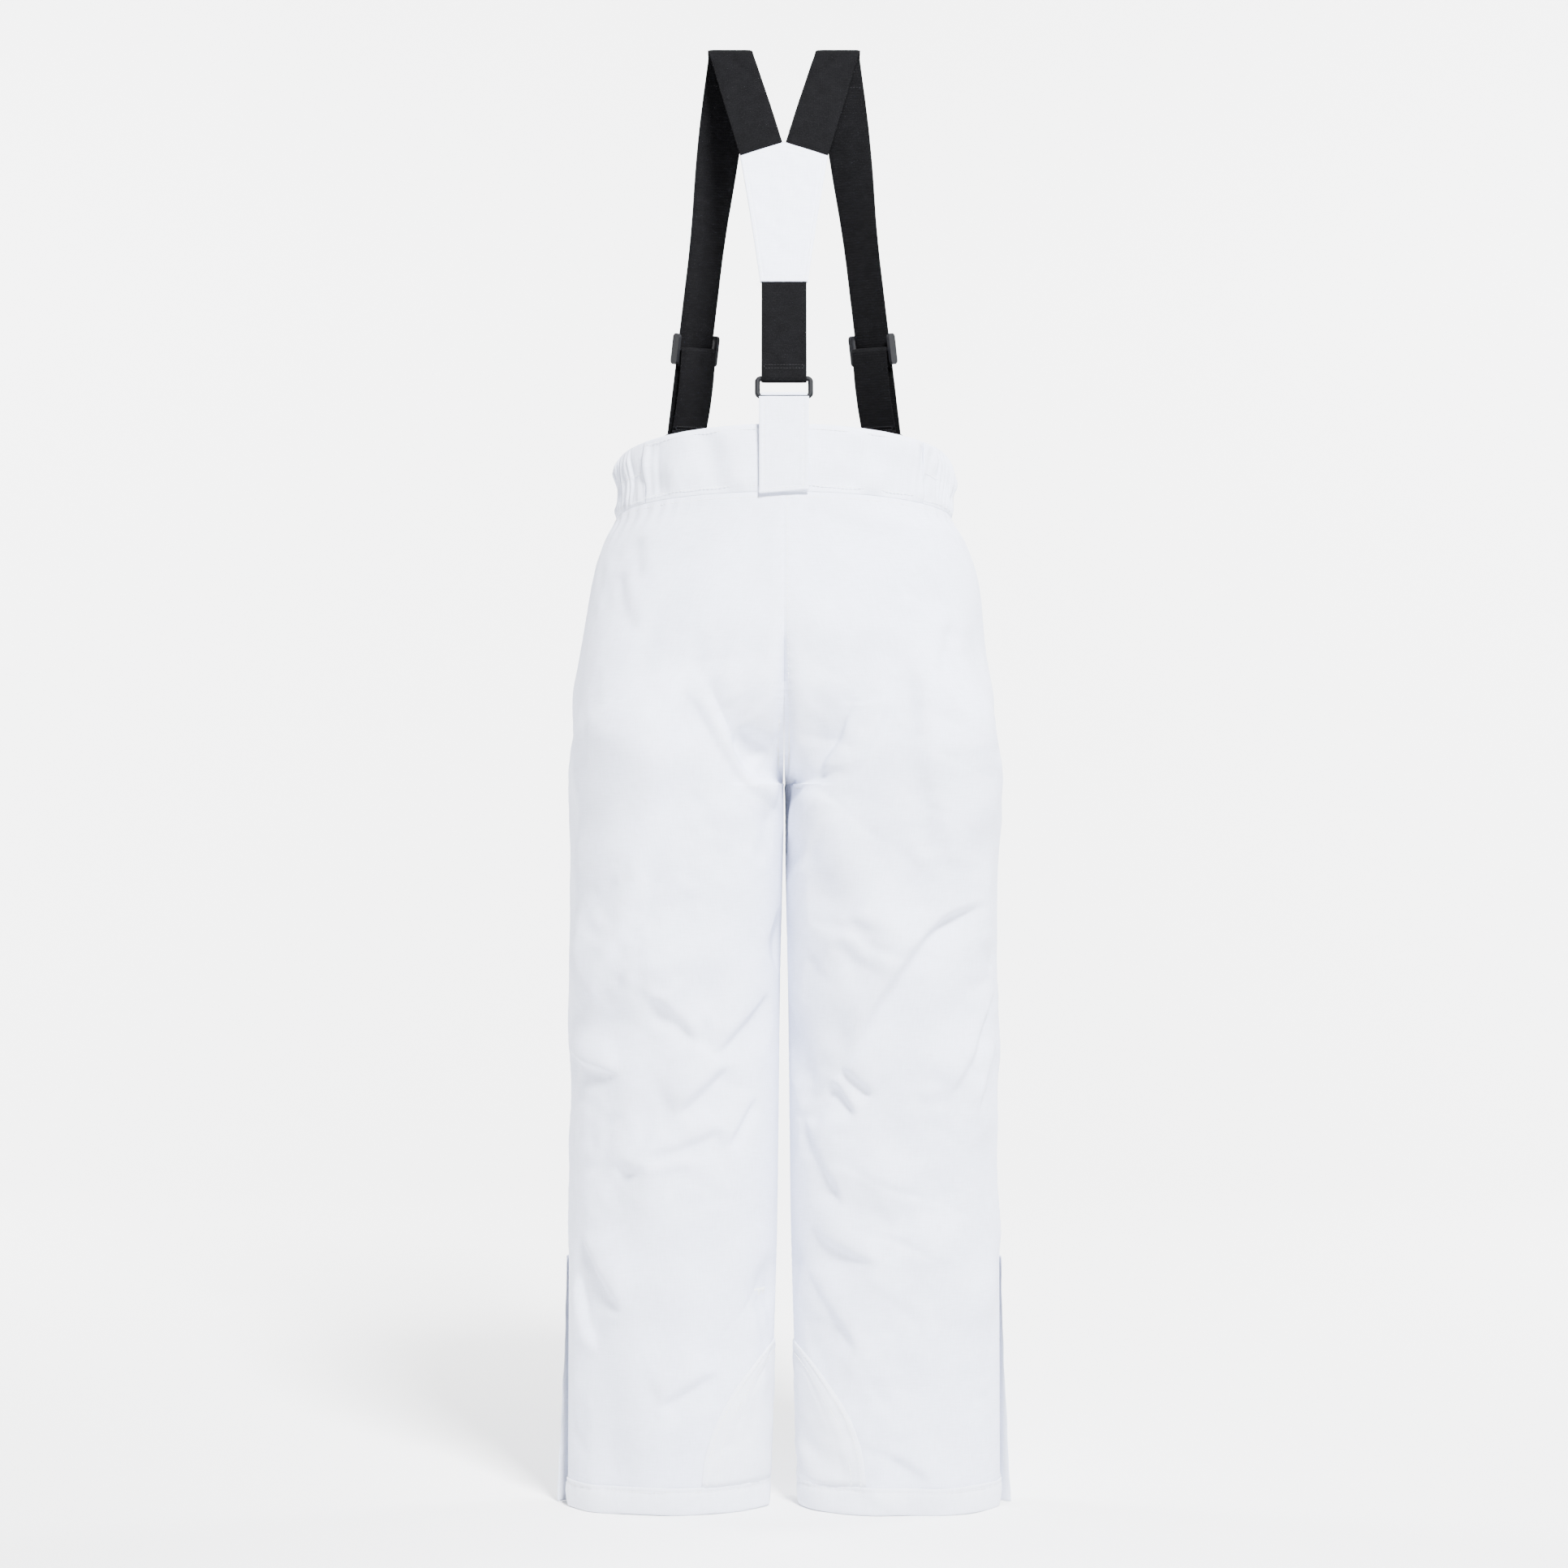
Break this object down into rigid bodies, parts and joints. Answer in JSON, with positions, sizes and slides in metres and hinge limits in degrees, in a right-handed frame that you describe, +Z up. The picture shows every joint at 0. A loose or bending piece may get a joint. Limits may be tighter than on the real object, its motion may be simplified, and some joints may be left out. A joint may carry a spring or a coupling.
{
  "type": "ski pants",
  "caption": "Child's insulated ski pants with elastic Y-back shoulder straps, zipped ankles, inner snow gaiters and scuff guards.",
  "frame": {"origin": "middle of the waist opening, level with the waistband's top edge at the side seams", "axes": "+Z up the body, +Y towards the wearer's front, +X towards the wearer's right"},
  "size_m": [0.392, 0.2068, 1.253],
  "materials": {
    "shell_fabric": "matt woven shell, near white",
    "trim_fabric": "matt woven shell, near white",
    "guard_fabric": "tight woven scuff fabric, white",
    "wadding": "quilted filling, white",
    "lining_fabric": "thin plain lining, light grey",
    "gusset_fabric": "thin plain fabric, warm grey",
    "webbing": "ribbed elastic webbing, black",
    "hook_tape": "hook tape, white",
    "buckle_plastic": "satin, dark grey",
    "zip_tape": "woven tape with a nylon coil, white",
    "zip_metal": "satin, dark grey",
    "snap_metal": "satin, pale grey"
  },
  "bodies": {
    "pants": {"shell_front_right": "shell_fabric", "shell_front_left": "shell_fabric", "shell_back_right": "shell_fabric", "shell_back_left": "shell_fabric", "wadding_right": "wadding", "wadding_left": "wadding", "lining_right": "lining_fabric", "lining_left": "lining_fabric", "hem_band_right": "trim_fabric", "hem_band_left": "trim_fabric", "scuff_guard_right": "guard_fabric", "scuff_guard_left": "guard_fabric", "ankle_zip_chain_right": "zip_tape", "ankle_zip_chain_left": "zip_tape", "ankle_gusset_right": "gusset_fabric", "ankle_gusset_left": "gusset_fabric", "ankle_storm_flap_right": "shell_fabric", "ankle_storm_flap_left": "shell_fabric", "snow_gaiter_right": "lining_fabric", "snow_gaiter_left": "lining_fabric", "waistband_side_right": "trim_fabric", "waistband_side_left": "trim_fabric", "pocket_zip_chain_right": "zip_tape", "pocket_zip_chain_left": "zip_tape", "pocket_bag_right": "lining_fabric", "pocket_bag_left": "lining_fabric", "shoulder_strap_right": "webbing", "shoulder_strap_left": "webbing", "strap_return_right": "webbing", "strap_return_left": "webbing", "front_ring_right": "buckle_plastic", "front_ring_left": "buckle_plastic", "front_tab_right": "trim_fabric", "front_tab_left": "trim_fabric", "waistband_back": "trim_fabric", "waistband_front_right": "trim_fabric", "waistband_front_left": "trim_fabric", "snap_studs": "snap_metal", "fly_zip_chain": "zip_tape", "fly_facing": "lining_fabric", "back_ring": "buckle_plastic", "back_elastic": "webbing", "back_tab_anchor": "trim_fabric", "keystone_patch": "trim_fabric"},
    "ankle_slider_right": {"ankle_zip_slider_right": "zip_metal"},
    "ankle_slider_left": {"ankle_zip_slider_left": "zip_metal"},
    "ankle_pull_right": {"ankle_zip_pull_right": "zip_metal"},
    "ankle_pull_left": {"ankle_zip_pull_left": "zip_metal"},
    "pocket_slider_right": {"pocket_zip_slider_right": "zip_metal"},
    "pocket_slider_left": {"pocket_zip_slider_left": "zip_metal"},
    "pocket_pull_right": {"pocket_zip_pull_right": "zip_metal"},
    "pocket_pull_left": {"pocket_zip_pull_left": "zip_metal"},
    "fly_slider": {"fly_zip_slider": "zip_metal"},
    "fly_pull": {"fly_zip_pull": "zip_metal"},
    "adjuster_right": {"strap_adjuster_right": "buckle_plastic"},
    "adjuster_left": {"strap_adjuster_left": "buckle_plastic"},
    "waist_fastener": {"waist_tab": "trim_fabric", "snap_caps": "snap_metal"},
    "back_tab": {"back_tab_flap": "trim_fabric", "back_tab_hook": "hook_tape"}
  },
  "joints": [
    {"name": "ankle_zip_right_slide", "type": "slide", "parent": "pants", "child": "ankle_slider_right", "axis": [-0.0047, 0, 1], "range_m": [0, 0.178]},
    {"name": "ankle_zip_right_pull_hinge", "type": "hinge", "parent": "ankle_slider_right", "child": "ankle_pull_right", "pos_m": [0.18449, 0, -0.87101], "axis": [0, -1, 0], "range_deg": [0, 150]},
    {"name": "ankle_zip_left_slide", "type": "slide", "parent": "pants", "child": "ankle_slider_left", "axis": [0.0047, 0, 1], "range_m": [0, 0.178]},
    {"name": "ankle_zip_left_pull_hinge", "type": "hinge", "parent": "ankle_slider_left", "child": "ankle_pull_left", "pos_m": [-0.18449, 0, -0.87101], "axis": [0, 1, 0], "range_deg": [0, 150]},
    {"name": "pocket_zip_right_slide", "type": "slide", "parent": "pants", "child": "pocket_slider_right", "axis": [0.2638, 0.0783, -0.9614], "range_m": [0, 0.08]},
    {"name": "pocket_zip_right_pull_hinge", "type": "hinge", "parent": "pocket_slider_right", "child": "pocket_pull_right", "pos_m": [0.10379, 0.06676, -0.08222], "axis": [0.859, -0.4725, 0.1972], "range_deg": [0, 150]},
    {"name": "pocket_zip_left_slide", "type": "slide", "parent": "pants", "child": "pocket_slider_left", "axis": [-0.2638, 0.0783, -0.9614], "range_m": [0, 0.08]},
    {"name": "pocket_zip_left_pull_hinge", "type": "hinge", "parent": "pocket_slider_left", "child": "pocket_pull_left", "pos_m": [-0.10379, 0.06676, -0.08222], "axis": [0.859, 0.4725, -0.1972], "range_deg": [0, 150]},
    {"name": "fly_zip_slide", "type": "slide", "parent": "pants", "child": "fly_slider", "axis": [0, 0.081, -0.9967], "range_m": [0, 0.086]},
    {"name": "fly_zip_pull_hinge", "type": "hinge", "parent": "fly_slider", "child": "fly_pull", "pos_m": [0, 0.0843, -0.0705], "axis": [1, 0, 0], "range_deg": [0, 150]},
    {"name": "adjuster_slide_right", "type": "slide", "parent": "pants", "child": "adjuster_right", "axis": [-0.1181, -0.1775, 0.977], "range_m": [-0.015, 0.045], "deforming": ["strap_return_right"]},
    {"name": "adjuster_slide_left", "type": "slide", "parent": "pants", "child": "adjuster_left", "axis": [0.1181, -0.1775, 0.977], "range_m": [-0.015, 0.045], "deforming": ["strap_return_left"]},
    {"name": "waist_tab_hinge", "type": "hinge", "parent": "pants", "child": "waist_fastener", "pos_m": [-0.01935, 0.08583, -0.029], "axis": [0, 0, 1], "range_deg": [0, 80]},
    {"name": "back_tab_hinge", "type": "hinge", "parent": "pants", "child": "back_tab", "pos_m": [0, -0.0937, 0.05066], "axis": [-1, 0, 0], "range_deg": [0, 150]}
  ]
}
